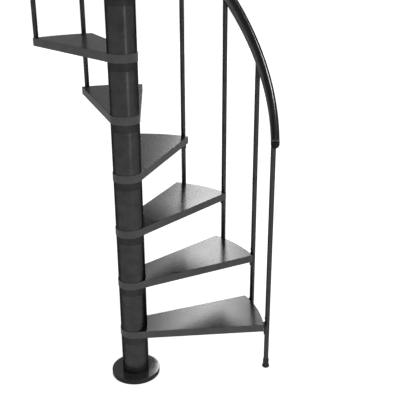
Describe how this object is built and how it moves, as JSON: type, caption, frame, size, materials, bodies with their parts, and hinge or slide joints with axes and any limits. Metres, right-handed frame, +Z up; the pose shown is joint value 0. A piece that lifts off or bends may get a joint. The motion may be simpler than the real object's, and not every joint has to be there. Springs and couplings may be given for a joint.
{
  "type": "spiral staircase",
  "caption": "Black steel spiral staircase kit: sector treads around a tube column, slim balusters, a helical handrail and a landing.",
  "frame": {"origin": "centre of the base plate's underside, on the floor", "axes": "+Z up along the column; +X through the first baluster, at the foot of the flight; the flight climbs counter-clockwise seen from above"},
  "size_m": [1.2008, 1.2008, 3.735],
  "materials": {
    "tread_coat": "smooth black powder coat, semi-gloss",
    "base_coat": "polished black enamel",
    "pole_steel": "plain steel, hidden inside the column",
    "tube_coat": "gloss black powder coat",
    "ring_plastic": "moulded, matt",
    "baluster_coat": "black powder coat, semi-gloss",
    "foot_rubber": "moulded, matt",
    "screw_steel": "black oxide",
    "rail_coat": "extruded, smooth gloss black",
    "cap_plastic": "moulded, matt"
  },
  "bodies": {
    "root": {"base_plate": "base_coat", "center_pole": "pole_steel", "spacer_tubes": "tube_coat", "levelling_rings": "ring_plastic", "tread_01": "tread_coat", "tread_02": "tread_coat", "tread_03": "tread_coat", "tread_04": "tread_coat", "tread_05": "tread_coat", "tread_06": "tread_coat", "tread_07": "tread_coat", "tread_08": "tread_coat", "tread_09": "tread_coat", "tread_10": "tread_coat", "tread_11": "tread_coat", "landing": "tread_coat", "baluster_01": "baluster_coat", "baluster_02": "baluster_coat", "baluster_03": "baluster_coat", "baluster_04": "baluster_coat", "baluster_05": "baluster_coat", "baluster_06": "baluster_coat", "baluster_07": "baluster_coat", "baluster_08": "baluster_coat", "baluster_09": "baluster_coat", "baluster_10": "baluster_coat", "baluster_11": "baluster_coat", "baluster_12": "baluster_coat", "landing_balusters": "baluster_coat", "baluster_foot": "foot_rubber", "baluster_clamps": "baluster_coat", "clamp_screws": "screw_steel", "handrail": "rail_coat", "handrail_ends": "cap_plastic", "column_cap": "cap_plastic", "landing_flange": "tread_coat"}
  },
  "joints": []
}
